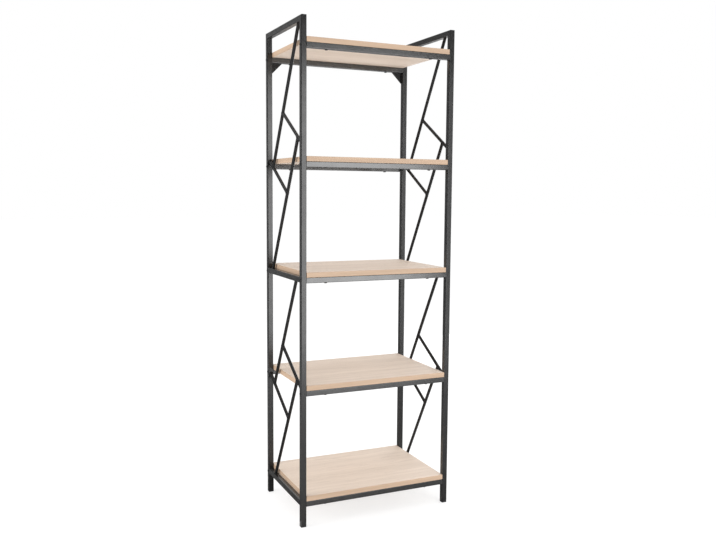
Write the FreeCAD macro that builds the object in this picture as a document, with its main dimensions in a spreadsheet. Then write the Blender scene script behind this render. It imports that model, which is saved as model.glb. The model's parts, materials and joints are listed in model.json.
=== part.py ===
"""Open shelving unit: two braced square-tube side frames, tube rails and laminate boards.

Millimetres and degrees. +Z is up, +X to the right, the front faces -Y, and the origin is on the floor
at the middle of the unit.
"""
import FreeCAD, Part
import math
import os
import Sketcher

# Driving dimensions: alias, value, what it measures
SIZES = (
    ("unit_width", 600.0, "outer face of the left posts to outer face of the right posts"),
    ("unit_depth", 400.0, "front face of the front posts to rear face of the rear posts"),
    ("unit_height", 1800.0, "floor to the top of the side frames"),
    ("tube_side", 20.0, "outside of the square tube"),
    ("tube_wall", 1.2, "wall of the square tube"),
    ("tube_corner", 2.0, "outer corner radius of the square tube"),
    ("bottom_shelf_height", 95.0, "floor to the underside of the bottom board"),
    ("top_shelf_drop", 89.0, "top of the side frames down to the underside of the top board"),
    ("frame_rail_rise", 2.0, "top of a side frame rail above the underside of the board beside it"),
    ("board_thickness", 18.0, "thickness of a board"),
    ("board_end_gap", 0.5, "play between a banded board end and the posts"),
    ("band_thickness", 1.0, "thickness of the edge banding"),
    ("band_rounding", 0.8, "rounding of the edge banding's outer edges"),
    ("brace_diameter", 12.0, "diameter of the round braces"),
    ("weld_gap", 0.1, "root gap where one brace is coped over another"),
    ("upper_start", 34.0, "upper bay: post face to the axis of a long brace, along the rail"),
    ("upper_end_gap", 40.0, "upper bay: post face to the point where a long brace ends on a short one"),
    ("upper_drop", 50.0, "upper bay: that point below or above the middle of the bay"),
    ("lower_start", 60.0, "lower bay: post face to the axis of a long brace, along the rail"),
    ("lower_end_gap", 48.0, "lower bay: post face to the point where a long brace ends on a short one"),
    ("lower_drop", 36.0, "lower bay: that point below or above the middle of the bay"),
    ("gusset_width", 43.0, "leg of a gusset plate along the rail"),
    ("gusset_height", 43.0, "leg of a gusset plate along the post"),
    ("gusset_thickness", 3.0, "thickness of a gusset plate"),
    ("bolt_diameter", 6.0, "shank of a rail bolt"),
    ("bolt_hole_play", 0.25, "radial play of a bolt in the post"),
    ("bolt_bite", 16.0, "length of bolt inside the threaded block"),
    ("bolt_chamfer", 0.8, "chamfer at the bolt's end"),
    ("bolt_head_width", 11.0, "diameter of the button head"),
    ("bolt_head_height", 3.2, "height of the button head"),
    ("bolt_head_rim", 0.8, "straight rim of the button head"),
    ("bolt_socket_width", 4.0, "across flats of the hexagon socket"),
    ("bolt_socket_depth", 2.0, "depth of the hexagon socket"),
    ("block_length", 22.0, "length of a threaded block"),
    ("block_play", 0.15, "play between a threaded block and the tube around it"),
    ("thread_play", 0.05, "radial play between bolt and block"),
    ("screw_inset", 75.0, "rail end to the axis of a shelf screw"),
    ("screw_diameter", 4.0, "shank of a shelf screw"),
    ("screw_hole_play", 0.25, "radial play of a screw in the rail"),
    ("screw_bite", 12.0, "length of screw inside the board"),
    ("screw_tip", 3.0, "length of the screw's point"),
    ("screw_head_width", 11.0, "diameter of the wide flat head"),
    ("screw_head_height", 3.0, "height of the wide flat head"),
    ("screw_head_bevel", 1.2, "bevel round the wide flat head"),
    ("screw_cross_width", 5.0, "tip to tip of the cross recess"),
    ("screw_cross_slot", 1.1, "width of an arm of the cross recess"),
    ("screw_cross_depth", 1.5, "depth of the cross recess"),
    ("pilot_play", 0.05, "radial play of a screw in the board"),
    ("pilot_depth_spare", 1.0, "pilot hole beyond the screw's point"),
    ("foot_head", 5.0, "height of the foot below the post"),
    ("foot_rounding", 1.8, "rounding of the foot's lower edge"),
    ("foot_plug_length", 18.0, "length of the foot inside the post"),
    ("foot_plug_wall", 1.8, "wall of the hollow part of the foot"),
    ("foot_play", 0.2, "play between the foot and the tube around it"),
)

# The shelves from the floor up, and those that have a rail of the side frame beside them
SHELVES = ("bottom", "lower", "middle", "upper", "top")
FRAME_RAILS = ("bottom", "middle")
SIDES = (("left", -1), ("right", 1))
ENDS = (("front", -1), ("rear", 1))

ORIGIN = FreeCAD.Vector(0, 0, 0)
RIGHT = FreeCAD.Vector(1, 0, 0)
REARWARD = FreeCAD.Vector(0, 1, 0)
UP = FreeCAD.Vector(0, 0, 1)

# Derived dimensions, each a formula of the driving ones
LAYOUT = [
    ("inner_width", "Sizes.unit_width - 2 * Sizes.tube_side"),
    ("inner_depth", "Sizes.unit_depth - 2 * Sizes.tube_side"),
    ("post_x", "(Sizes.unit_width - Sizes.tube_side) / 2"),
    ("post_y", "(Sizes.unit_depth - Sizes.tube_side) / 2"),
    ("bore", "Sizes.tube_side - 2 * Sizes.tube_wall"),
    ("bore_corner", "max(Sizes.tube_corner - Sizes.tube_wall; 0.25 * Sizes.tube_wall)"),
    ("board_width", "Layout.inner_width - 2 * Sizes.board_end_gap"),
    ("core_width", "Layout.board_width - 2 * Sizes.band_thickness"),
    ("core_depth", "Sizes.unit_depth - 2 * Sizes.band_thickness"),
    ("screw_x", "Layout.inner_width / 2 - Sizes.screw_inset"),
    ("top_shelf", "Sizes.unit_height - Sizes.top_shelf_drop"),
    ("shelf_pitch", f"(Layout.top_shelf - Sizes.bottom_shelf_height) / {len(SHELVES) - 1}"),
    ("middle_shelf", f"Sizes.bottom_shelf_height + {SHELVES.index('middle')} * Layout.shelf_pitch"),
    ("upper_low", "Layout.middle_shelf + Sizes.frame_rail_rise"),
    ("upper_high", "Sizes.unit_height - Sizes.tube_side"),
    ("lower_low", "Sizes.bottom_shelf_height + Sizes.frame_rail_rise"),
    ("lower_high", "Layout.upper_low - Sizes.tube_side"),
    ("band_edge", "min(Sizes.band_rounding; 0.8 * Sizes.band_thickness)"),
    ("foot_edge", "min(Sizes.foot_rounding; 0.8 * Sizes.tube_corner; 0.8 * Sizes.foot_head)"),
]


def bay_formulas(bay):
    """Formulas that lay out the four braces of a bay, which mirror each other through its middle.

    A long brace leaves the rail at "start" from one post and ends on a short brace at "end_gap" from the
    other post, "drop" past the middle of the bay. Short braces are square to the long ones.
    """
    tilt = f"Layout.{bay}_lean * 1 deg"
    drop = f"Sizes.{bay}_drop"
    reach = f"Layout.{bay}_reach"
    run = f"Layout.inner_depth - Sizes.{bay}_start - Sizes.{bay}_end_gap"
    return [
        (f"{bay}_middle", f"(Layout.{bay}_low + Layout.{bay}_high) / 2"),
        (f"{bay}_half", f"(Layout.{bay}_high - Layout.{bay}_low) / 2"),
        (f"{bay}_reach", f"Layout.inner_depth / 2 - Sizes.{bay}_end_gap"),
        (f"{bay}_lean", f"atan2({run}; Layout.{bay}_half + {drop}) / 1 deg"),
        (f"{bay}_short_pitch", f"2 * ({reach} * sin({tilt}) + {drop} * cos({tilt}))"),
        (f"{bay}_long_pitch", f"2 * ({reach} * cos({tilt}) - {drop} * sin({tilt}))"),
    ]


doc = FreeCAD.newDocument("ShelvingUnit")
sub_parts = []


def value(formula):
    """Present value of a formula, used to draw a sketch near its final shape."""
    return float(doc.Sizes.evalExpression(formula))


def keep(piece, label):
    """Name a finished sub-part and put it on the list of pieces to write."""
    piece.Label = label
    sub_parts.append(piece)
    return piece


def fill_sheet():
    """Write the driving dimensions into the sheet."""
    sheet = doc.addObject("Spreadsheet::Sheet", "Sizes")
    for row, (alias, size, note) in enumerate(SIZES, start=1):
        sheet.set(f"A{row}", alias)
        sheet.set(f"B{row}", str(size))
        sheet.set(f"C{row}", note)
        sheet.setAlias(f"B{row}", alias)
    doc.recompute()


def fill_layout():
    """Bind the derived dimensions to the sheet."""
    layout = doc.addObject("App::VarSet", "Layout")
    for name, formula in LAYOUT + bay_formulas("upper") + bay_formulas("lower"):
        layout.addProperty("App::PropertyFloat", name, "Layout")
        layout.setExpression(name, formula)
    doc.recompute()


def place(piece, x="0", y="0", z="0"):
    """Bind a piece's position to formulas."""
    for axis, formula in (("x", x), ("y", y), ("z", z)):
        piece.setExpression(f".Placement.Base.{axis}", formula)


def turn(piece, axis, formula):
    """Bind a piece's turn about one axis to a formula in degrees."""
    start = piece.Placement.Base
    piece.Placement = FreeCAD.Placement(start, FreeCAD.Rotation(axis, 1.0))
    piece.setExpression(".Placement.Rotation.Angle", formula)


def new_body(name):
    """An empty body."""
    return doc.addObject("PartDesign::Body", name)


def new_sketch(body, name, plane):
    """A sketch on one of the body's own origin planes."""
    sketch = body.newObject("Sketcher::SketchObject", name)
    support = [item for item in body.Origin.OriginFeatures if item.Role == plane]
    sketch.AttachmentSupport = [(support[0], "")]
    sketch.MapMode = "FlatFace"
    return sketch


def dimension(sketch, name, formula, kind, *points):
    """A named dimension of a sketch, bound to a formula."""
    index = sketch.addConstraint(Sketcher.Constraint(kind, *points, value(formula)))
    sketch.renameConstraint(index, name)
    sketch.setExpression(f"Constraints.{name}", formula)


def polygon(sketch, corners):
    """A closed outline of straight lines; each corner is two formulas, "0" puts it on an axis."""
    points = [FreeCAD.Vector(value(x), value(y), 0) for x, y in corners]
    lines = []
    for start, end in zip(points, points[1:] + points[:1]):
        lines.append(sketch.addGeometry(Part.LineSegment(start, end), False))
    for index, line in enumerate(lines):
        following = lines[(index + 1) % len(lines)]
        sketch.addConstraint(Sketcher.Constraint("Coincident", line, 2, following, 1))
    for line, (x, y) in zip(lines, corners):
        for axis, kind, formula in ((-2, "DistanceX", x), (-1, "DistanceY", y)):
            if formula == "0":
                sketch.addConstraint(Sketcher.Constraint("PointOnObject", line, 1, axis))
            else:
                dimension(sketch, f"{kind}_{line}", formula, kind, -1, 1, line, 1)
    return lines


def rounded_square(sketch, name, side, corner):
    """A closed square with rounded corners, centred on the sketch's origin."""
    half = value(side) / 2
    radius = value(corner)
    flat = half - radius
    quarter = math.pi / 2
    lines = []
    arcs = []
    for index, (right, up) in enumerate(((0, -1), (1, 0), (0, 1), (-1, 0))):
        middle = FreeCAD.Vector(right * half, up * half, 0)
        along = FreeCAD.Vector(-up * flat, right * flat, 0)
        lines.append(sketch.addGeometry(Part.LineSegment(middle - along, middle + along), False))
        ring = Part.Circle(FreeCAD.Vector((right - up) * flat, (up + right) * flat, 0), UP, radius)
        arc = Part.ArcOfCircle(ring, (index - 1) * quarter, index * quarter)
        arcs.append(sketch.addGeometry(arc, False))
    for index in range(4):
        following = lines[(index + 1) % 4]
        sketch.addConstraint(Sketcher.Constraint("Tangent", lines[index], 2, arcs[index], 1))
        sketch.addConstraint(Sketcher.Constraint("Tangent", arcs[index], 2, following, 1))
        direction = "Horizontal" if index % 2 == 0 else "Vertical"
        sketch.addConstraint(Sketcher.Constraint(direction, lines[index]))
    for arc in arcs[1:]:
        sketch.addConstraint(Sketcher.Constraint("Equal", arcs[0], arc))
    sketch.addConstraint(Sketcher.Constraint("Symmetric", arcs[0], 3, arcs[2], 3, -1, 1))
    dimension(sketch, f"{name}_corner", corner, "Radius", arcs[0])
    dimension(sketch, f"{name}_width", side, "DistanceX", lines[3], 1, lines[1], 1)
    dimension(sketch, f"{name}_height", side, "DistanceY", lines[0], 1, lines[2], 1)


def circle(sketch, name, diameter, x="0", y="0"):
    """A circle whose centre is given by two formulas, "0" puts it on an axis."""
    centre = FreeCAD.Vector(value(x), value(y), 0)
    index = sketch.addGeometry(Part.Circle(centre, UP, value(diameter) / 2), False)
    dimension(sketch, f"{name}_diameter", diameter, "Diameter", index)
    for axis, kind, formula in ((-2, "DistanceX", x), (-1, "DistanceY", y)):
        if formula == "0":
            sketch.addConstraint(Sketcher.Constraint("PointOnObject", index, 3, axis))
        else:
            dimension(sketch, f"{name}_{kind}", formula, kind, -1, 1, index, 3)


def pad(body, sketch, length, symmetric=False):
    """A pad of the sketch, to one side or half to each side."""
    feature = body.newObject("PartDesign::Pad", f"{sketch.Name}Pad")
    feature.Profile = sketch
    feature.Midplane = symmetric
    feature.setExpression("Length", length)
    doc.recompute()
    return feature


def pocket(body, sketch, length=None, reverse=False):
    """A pocket of the sketch: through the whole body both ways, or to a depth on one side."""
    before = body.Shape.Volume
    feature = body.newObject("PartDesign::Pocket", f"{sketch.Name}Pocket")
    feature.Profile = sketch
    if length is None:
        feature.Type = "ThroughAll"
        feature.Midplane = True
    else:
        feature.Reversed = reverse
        feature.setExpression("Length", length)
    doc.recompute()
    if not body.Shape.Volume < before:
        raise RuntimeError(f"{feature.Name} cuts nothing")
    return feature


def revolve(body, sketch):
    """A full turn of the sketch about its own vertical axis."""
    feature = body.newObject("PartDesign::Revolution", f"{sketch.Name}Turn")
    feature.Profile = sketch
    feature.ReferenceAxis = (sketch, ["V_Axis"])
    feature.Angle = 360.0
    doc.recompute()
    return feature


def tube(name, plane, length, symmetric):
    """A body that starts as a straight length of the square tube, square to a plane."""
    body = new_body(name)
    section = new_sketch(body, f"{name}_section", plane)
    rounded_square(section, "outer", "Sizes.tube_side", "Sizes.tube_corner")
    rounded_square(section, "inner", "Layout.bore", "Layout.bore_corner")
    pad(body, section, length, symmetric)
    return body


def shelf_level(shelf):
    """Formula for the underside of a board."""
    return f"Sizes.bottom_shelf_height + {SHELVES.index(shelf)} * Layout.shelf_pitch"


def rail_level(shelf):
    """Formula for the axis of the rails under a board."""
    return f"{shelf_level(shelf)} - Sizes.tube_side / 2"


def make_post(side, x_sign, end, y_sign):
    """A post, mitred at the top and drilled for the rail bolts."""
    name = f"{end}_{side}_post"
    length = "Sizes.unit_height - Sizes.foot_head"
    body = tube(name, "XY_Plane", length, False)
    mitre = new_sketch(body, f"{name}_mitre", "YZ_Plane")
    outer = f"{y_sign} * Sizes.tube_side / 2"
    inner = f"-({y_sign}) * Sizes.tube_side / 2"
    polygon(mitre, ((outer, length), (inner, length), (inner, f"{length} - Sizes.tube_side")))
    pocket(body, mitre)
    holes = new_sketch(body, f"{name}_holes", "YZ_Plane")
    for shelf in SHELVES:
        level = f"{rail_level(shelf)} - Sizes.foot_head"
        circle(holes, shelf, "Sizes.bolt_diameter + 2 * Sizes.bolt_hole_play", "0", level)
    pocket(body, holes)
    place(body, f"{x_sign} * Layout.post_x", f"{y_sign} * Layout.post_y", "Sizes.foot_head")
    keep(body, name)


def make_foot(side, x_sign, end, y_sign):
    """A plastic foot: a head under the post and a hollow plug inside it."""
    name = f"{end}_{side}_foot"
    body = new_body(name)
    head = new_sketch(body, f"{name}_head", "XY_Plane")
    rounded_square(head, "head", "Sizes.tube_side", "Sizes.tube_corner")
    head_pad = pad(body, head, "Sizes.foot_head")
    faces = head_pad.Shape.Faces
    lowest = min(range(len(faces)), key=lambda index: faces[index].CenterOfMass.z)
    rounding = body.newObject("PartDesign::Fillet", f"{name}_rounding")
    rounding.Base = (head_pad, [f"Face{lowest + 1}"])
    rounding.setExpression("Radius", "Layout.foot_edge")
    doc.recompute()
    plug_side = "Layout.bore - 2 * Sizes.foot_play"
    plug = new_sketch(body, f"{name}_plug", "XY_Plane")
    plug.setExpression(".AttachmentOffset.Base.z", "Sizes.foot_head")
    rounded_square(plug, "plug", plug_side, "Layout.bore_corner")
    pad(body, plug, "Sizes.foot_plug_length")
    hollow = new_sketch(body, f"{name}_hollow", "XY_Plane")
    hollow.setExpression(".AttachmentOffset.Base.z", "Sizes.foot_head + Sizes.foot_plug_length")
    rounded_square(hollow, "hollow", f"{plug_side} - 2 * Sizes.foot_plug_wall", "Layout.bore_corner")
    pocket(body, hollow, "Sizes.foot_plug_length")
    place(body, f"{x_sign} * Layout.post_x", f"{y_sign} * Layout.post_y")
    keep(body, name)


def make_top_rail(side, x_sign):
    """The rail across the top of a side frame, mitred to the posts."""
    name = f"{side}_frame_top_rail"
    body = tube(name, "XZ_Plane", "Sizes.unit_depth", True)
    for end, y_sign in ENDS:
        mitre = new_sketch(body, f"{name}_{end}_mitre", "YZ_Plane")
        tip = f"{y_sign} * Sizes.unit_depth / 2"
        heel = f"{y_sign} * Layout.inner_depth / 2"
        low = "-Sizes.tube_side / 2"
        polygon(mitre, ((tip, "Sizes.tube_side / 2"), (tip, low), (heel, low)))
        pocket(body, mitre)
    place(body, f"{x_sign} * Layout.post_x", "0", "Sizes.unit_height - Sizes.tube_side / 2")
    keep(body, name)


def make_frame_rail(side, x_sign, shelf):
    """A rail of a side frame, from post to post beside a shelf, its top a little above the board's underside."""
    name = f"{side}_frame_{shelf}_rail"
    body = tube(name, "XZ_Plane", "Layout.inner_depth", True)
    place(body, f"{x_sign} * Layout.post_x", "0", f"{rail_level(shelf)} + Sizes.frame_rail_rise")
    keep(body, name)


def make_shelf_rail(shelf, end, y_sign):
    """A rail under a board, drilled upwards for the two shelf screws."""
    name = f"{shelf}_shelf_{end}_rail"
    body = tube(name, "YZ_Plane", "Layout.inner_width", True)
    holes = new_sketch(body, f"{name}_holes", "XY_Plane")
    width = "Sizes.screw_diameter + 2 * Sizes.screw_hole_play"
    for side, x_sign in SIDES:
        circle(holes, side, width, f"{x_sign} * Layout.screw_x")
    pocket(body, holes)
    place(body, "0", f"{y_sign} * Layout.post_y", rail_level(shelf))
    keep(body, name)


def make_board(shelf):
    """The core of a shelf with its four pilot holes."""
    name = f"{shelf}_shelf_board"
    body = new_body(name)
    outline = new_sketch(body, f"{name}_outline", "XY_Plane")
    half_x = "Layout.core_width / 2"
    half_y = "Layout.core_depth / 2"
    corners = ((-1, -1), (1, -1), (1, 1), (-1, 1))
    polygon(outline, [(f"{x} * {half_x}", f"{y} * {half_y}") for x, y in corners])
    pad(body, outline, "Sizes.board_thickness")
    pilots = new_sketch(body, f"{name}_pilots", "XY_Plane")
    width = "Sizes.screw_diameter + 2 * Sizes.pilot_play"
    for side, x_sign in SIDES:
        x = f"{x_sign} * Layout.screw_x"
        for end, y_sign in ENDS:
            circle(pilots, f"{end}_{side}", width, x, f"{y_sign} * Layout.post_y")
    pocket(body, pilots, "Sizes.screw_bite + Sizes.pilot_depth_spare", True)
    place(body, "0", "0", shelf_level(shelf))
    keep(body, name)


def make_bay_space(side, x_sign, bay):
    """The open space of a bay, which trims its braces to the rails and posts."""
    space = doc.addObject("Part::Box", f"{side}_{bay}_space")
    space.setExpression("Length", "2 * Sizes.brace_diameter")
    space.setExpression("Width", "Layout.inner_depth")
    space.setExpression("Height", f"2 * Layout.{bay}_half")
    start = f"{x_sign} * Layout.post_x - Sizes.brace_diameter"
    place(space, start, "-Layout.inner_depth / 2", f"Layout.{bay}_low")
    return space


def brace_stock(name, x_sign, y, z, angle, length, radius):
    """A plain round bar from a point of the side frame, leaning by an angle from upright to the front."""
    bar = doc.addObject("Part::Cylinder", name)
    bar.setExpression("Radius", radius)
    bar.setExpression("Height", length)
    turn(bar, RIGHT, angle)
    place(bar, f"{x_sign} * Layout.post_x", y, z)
    return bar


def make_brace(name, x_sign, space, y, z, angle, length):
    """A brace from its coped end on another brace, at (y, z), to its flat end on a rail or post."""
    radius = "Sizes.brace_diameter / 2"
    stock = brace_stock(f"{name}_stock", x_sign, y, z, angle, length, radius)
    trimmed = doc.addObject("Part::Common", f"{name}_trimmed")
    trimmed.Base = stock
    trimmed.Tool = space
    back = f"({angle} + 90) * 1 deg"
    cope_y = f"{y} + Sizes.brace_diameter * sin({back})"
    cope_z = f"{z} - Sizes.brace_diameter * cos({back})"
    cope_length = "2 * Sizes.brace_diameter"
    cope_radius = f"{radius} + Sizes.weld_gap"
    cope = brace_stock(f"{name}_cope", x_sign, cope_y, cope_z, f"{angle} + 90", cope_length, cope_radius)
    brace = doc.addObject("Part::Cut", name)
    brace.Base = trimmed
    brace.Tool = cope
    keep(brace, name)


def make_bay(side, x_sign, bay):
    """The four braces of a bay: two long ones and two short ones, each pair turned half round."""
    space = make_bay_space(side, x_sign, bay)
    lean = f"Layout.{bay}_lean"
    tilt = f"{lean} * 1 deg"
    reach = f"Layout.{bay}_reach"
    drop = f"Sizes.{bay}_drop"
    pitch = f"Layout.{bay}_short_pitch"
    long_length = f"(Layout.{bay}_half + {drop}) / cos({tilt}) + Sizes.brace_diameter"
    short_length = f"Layout.{bay}_long_pitch + Sizes.{bay}_end_gap / cos({tilt}) + Sizes.brace_diameter"
    short_y = f"({reach} - {pitch} * sin({tilt}))"
    short_z = f"({drop} - {pitch} * cos({tilt}))"
    for word, end, sign, half_turn in (("top", "front", 1, 0), ("bottom", "rear", -1, 180)):
        long_y = f"{sign} * {reach}"
        long_z = f"Layout.{bay}_middle - ({sign}) * {drop}"
        long_name = f"{side}_{bay}_long_brace_{word}"
        make_brace(long_name, x_sign, space, long_y, long_z, f"{lean} + {half_turn}", long_length)
        foot_y = f"{sign} * {short_y}"
        foot_z = f"Layout.{bay}_middle - ({sign}) * {short_z}"
        short_name = f"{side}_{bay}_short_brace_{end}"
        make_brace(short_name, x_sign, space, foot_y, foot_z, f"{lean} + {half_turn} + 90", short_length)


def make_gusset(side, x_sign):
    """A triangular plate in the corner between the top shelf's rear rail and a rear post."""
    name = f"{side}_gusset_plate"
    body = new_body(name)
    outline = new_sketch(body, f"{name}_outline", "XZ_Plane")
    low_corner = ("0", "-Sizes.gusset_height")
    side_corner = (f"-({x_sign}) * Sizes.gusset_width", "0")
    polygon(outline, (("0", "0"), low_corner, side_corner))
    pad(body, outline, "Sizes.gusset_thickness", True)
    corner_x = f"{x_sign} * Layout.inner_width / 2"
    plate_y = "Sizes.unit_depth / 2 - Sizes.tube_corner - Sizes.gusset_thickness / 2"
    place(body, corner_x, plate_y, "Layout.top_shelf - Sizes.tube_side")
    keep(body, name)


def bolt_pattern():
    """A button-head bolt along +Z, its head's flat side at the origin."""
    body = new_body("bolt_pattern")
    section = new_sketch(body, "bolt_section", "XZ_Plane")
    rim = "Sizes.bolt_head_width / 2"
    shank = "Sizes.bolt_diameter / 2"
    end = "Sizes.tube_side + Sizes.bolt_bite"
    crown = "-Sizes.bolt_head_height"
    corners = [("0", crown), (rim, "-Sizes.bolt_head_rim"), (rim, "0"), (shank, "0")]
    corners += [(shank, f"{end} - Sizes.bolt_chamfer"), (f"{shank} - Sizes.bolt_chamfer", end), ("0", end)]
    lines = polygon(section, corners)
    dome_head(section, lines)
    revolve(body, section)
    socket = new_sketch(body, "bolt_socket", "XY_Plane")
    socket.setExpression(".AttachmentOffset.Base.z", crown)
    hexagon(socket, "Sizes.bolt_socket_width")
    pocket(body, socket, "Sizes.bolt_socket_depth", True)
    return body


def dome_head(section, lines):
    """Swap the slanted line of a bolt head for an arc that is level at the axis."""
    height = value("Sizes.bolt_head_height - Sizes.bolt_head_rim")
    rim = value("Sizes.bolt_head_width / 2")
    radius = (rim ** 2 + height ** 2) / (2 * height)
    centre = FreeCAD.Vector(0, radius - value("Sizes.bolt_head_height"), 0)
    tip = FreeCAD.Vector(0, -value("Sizes.bolt_head_height"), 0)
    edge = FreeCAD.Vector(rim, -value("Sizes.bolt_head_rim"), 0)
    shoulder = centre + (tip + edge - centre * 2).normalize() * radius
    arc = section.addGeometry(Part.Arc(tip, shoulder, edge), False)
    section.toggleConstruction(lines[0])
    section.addConstraint(Sketcher.Constraint("Coincident", arc, 1, lines[0], 1))
    section.addConstraint(Sketcher.Constraint("Coincident", arc, 2, lines[0], 2))
    section.addConstraint(Sketcher.Constraint("PointOnObject", arc, 3, -2))


def hexagon(sketch, across_flats):
    """A regular hexagon about the sketch's origin, with a corner on the sketch's horizontal axis."""
    radius = f"{across_flats} / sqrt(3)"
    turned = FreeCAD.Rotation(UP, 60.0)
    corner = FreeCAD.Vector(value(radius), 0, 0)
    lines = []
    for _ in range(6):
        following = turned.multVec(corner)
        lines.append(sketch.addGeometry(Part.LineSegment(corner, following), False))
        corner = following
    guide = sketch.addGeometry(Part.Circle(ORIGIN, UP, value(radius)), True)
    sketch.addConstraint(Sketcher.Constraint("Coincident", guide, 3, -1, 1))
    for line, following in zip(lines, lines[1:] + lines[:1]):
        sketch.addConstraint(Sketcher.Constraint("Coincident", line, 2, following, 1))
        sketch.addConstraint(Sketcher.Constraint("PointOnObject", line, 2, guide))
    for line in lines[1:]:
        sketch.addConstraint(Sketcher.Constraint("Equal", lines[0], line))
    sketch.addConstraint(Sketcher.Constraint("PointOnObject", lines[0], 1, -1))
    dimension(sketch, "hexagon_radius", radius, "Radius", guide)


def block_pattern():
    """A threaded block along +Z from the origin, the shape of the tube's bore."""
    body = new_body("block_pattern")
    section = new_sketch(body, "block_section", "XY_Plane")
    rounded_square(section, "block", "Layout.bore - 2 * Sizes.block_play", "Layout.bore_corner")
    circle(section, "thread", "Sizes.bolt_diameter + 2 * Sizes.thread_play")
    pad(body, section, "Sizes.block_length")
    return body


def screw_pattern():
    """A wood screw with a wide flat head, along +Z, its head's seat at the origin."""
    body = new_body("screw_pattern")
    section = new_sketch(body, "screw_section", "XZ_Plane")
    rim = "Sizes.screw_head_width / 2"
    shank = "Sizes.screw_diameter / 2"
    end = "Sizes.tube_side + Sizes.screw_bite"
    crown = "-Sizes.screw_head_height"
    bevel = "Sizes.screw_head_bevel"
    corners = [("0", crown), (f"{rim} - {bevel}", crown), (rim, f"{crown} + {bevel}"), (rim, "0")]
    corners += [(shank, "0"), (shank, f"{end} - Sizes.screw_tip"), ("0", end)]
    polygon(section, corners)
    revolve(body, section)
    recess = new_sketch(body, "screw_recess", "XY_Plane")
    recess.setExpression(".AttachmentOffset.Base.z", crown)
    tip = "Sizes.screw_cross_width / 2"
    slot = "Sizes.screw_cross_slot / 2"
    arms = [(tip, slot), (slot, slot), (slot, tip)]
    arms += [(f"-{slot}", tip), (f"-{slot}", slot), (f"-{tip}", slot)]
    polygon(recess, arms + [(f"-({x})", f"-({y})") for x, y in arms])
    pocket(body, recess, "Sizes.screw_cross_depth", True)
    return body


def copy(pattern, name, axis, x, y, z, angle):
    """A copy of a pattern, turned about an axis and placed by formulas."""
    link = doc.addObject("App::Link", name)
    link.LinkedObject = pattern
    turn(link, axis, angle)
    place(link, x, y, z)
    return link


def group(name, pieces):
    """Separate solids held as one object."""
    compound = doc.addObject("Part::Compound", name)
    compound.Links = pieces
    return compound


def band_pattern(name, length):
    """A strip of edge banding along X, its glued side on the XZ plane and its long outer edges rounded."""
    body = new_body(name)
    outline = new_sketch(body, f"{name}_outline", "XY_Plane")
    half = f"{length} / 2"
    outer = "-Sizes.band_thickness"
    polygon(outline, ((f"-{half}", outer), (half, outer), (half, "0"), (f"-{half}", "0")))
    strip = pad(body, outline, "Sizes.board_thickness")
    thickness = value("Sizes.band_thickness")
    rounded = []
    for number, edge in enumerate(strip.Shape.Edges, start=1):
        outside = edge.CenterOfMass.y < -thickness / 4
        lengthwise = edge.BoundBox.XLength > thickness
        if outside and lengthwise:
            rounded.append(f"Edge{number}")
    rounding = body.newObject("PartDesign::Fillet", f"{name}_rounding")
    rounding.Base = (strip, rounded)
    rounding.setExpression("Radius", "Layout.band_edge")
    doc.recompute()
    return body


def make_edge_bands():
    """The four strips of banding round each board, the long ones covering the ends of the short ones."""
    long_strip = band_pattern("long_band_pattern", "Layout.board_width")
    short_strip = band_pattern("short_band_pattern", "Layout.core_depth")
    for shelf in SHELVES:
        label = f"{shelf}_shelf_edge_bands"
        level = shelf_level(shelf)
        strips = []
        for side, x_sign in SIDES:
            spot = (f"{x_sign} * Layout.core_width / 2", "0", level, f"{x_sign} * 90")
            strips.append(copy(short_strip, f"{label}_{side}", UP, *spot))
        for end, y_sign in ENDS:
            spot = ("0", f"{y_sign} * Layout.core_depth / 2", level, f"90 + {y_sign} * 90")
            strips.append(copy(long_strip, f"{label}_{end}", UP, *spot))
        keep(group(label, strips), label)


def make_fasteners():
    """The bolts and threaded blocks of every rail end, and the screws of every board."""
    patterns = {
        "rail_bolts": bolt_pattern(),
        "rail_end_blocks": block_pattern(),
        "shelf_screws": screw_pattern(),
    }
    pieces = {label: [] for label in patterns}
    for shelf in SHELVES:
        for side, x_sign in SIDES:
            for end, y_sign in ENDS:
                y = f"{y_sign} * Layout.post_y"
                inward = f"-({x_sign}) * 90"
                underside = f"{shelf_level(shelf)} - Sizes.tube_side"
                spots = {
                    "rail_bolts": (f"{x_sign} * Sizes.unit_width / 2", y, rail_level(shelf), inward),
                    "rail_end_blocks": (f"{x_sign} * Layout.inner_width / 2", y, rail_level(shelf), inward),
                    "shelf_screws": (f"{x_sign} * Layout.screw_x", y, underside, "0"),
                }
                for label, spot in spots.items():
                    name = f"{label}_{shelf}_{end}_{side}"
                    pieces[label].append(copy(patterns[label], name, REARWARD, *spot))
    for label, solids in pieces.items():
        keep(group(label, solids), label)


def build():
    """Make every sub-part."""
    fill_sheet()
    fill_layout()
    for side, x_sign in SIDES:
        for end, y_sign in ENDS:
            make_post(side, x_sign, end, y_sign)
            make_foot(side, x_sign, end, y_sign)
        make_top_rail(side, x_sign)
        for shelf in FRAME_RAILS:
            make_frame_rail(side, x_sign, shelf)
        for bay in ("upper", "lower"):
            make_bay(side, x_sign, bay)
        make_gusset(side, x_sign)
    for shelf in SHELVES:
        for end, y_sign in ENDS:
            make_shelf_rail(shelf, end, y_sign)
        make_board(shelf)
    make_edge_bands()
    make_fasteners()
    doc.recompute()


def check():
    """Stop if any object failed or any sub-part has no sound shape."""
    for item in doc.Objects:
        if "Invalid" in item.State or "Error" in item.State:
            raise RuntimeError(f"{item.Name} failed: {item.State}")
    for piece in sub_parts:
        if piece.Shape.isNull() or not piece.Shape.isValid() or not piece.Shape.Solids:
            raise RuntimeError(f"{piece.Label} has no sound shape")


def write():
    """Write each sub-part to its own file."""
    os.makedirs("parts", exist_ok=True)
    for piece in sub_parts:
        piece.Shape.exportStep(os.path.join("parts", f"{piece.Label}.step"))


build()
check()
write()
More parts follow.
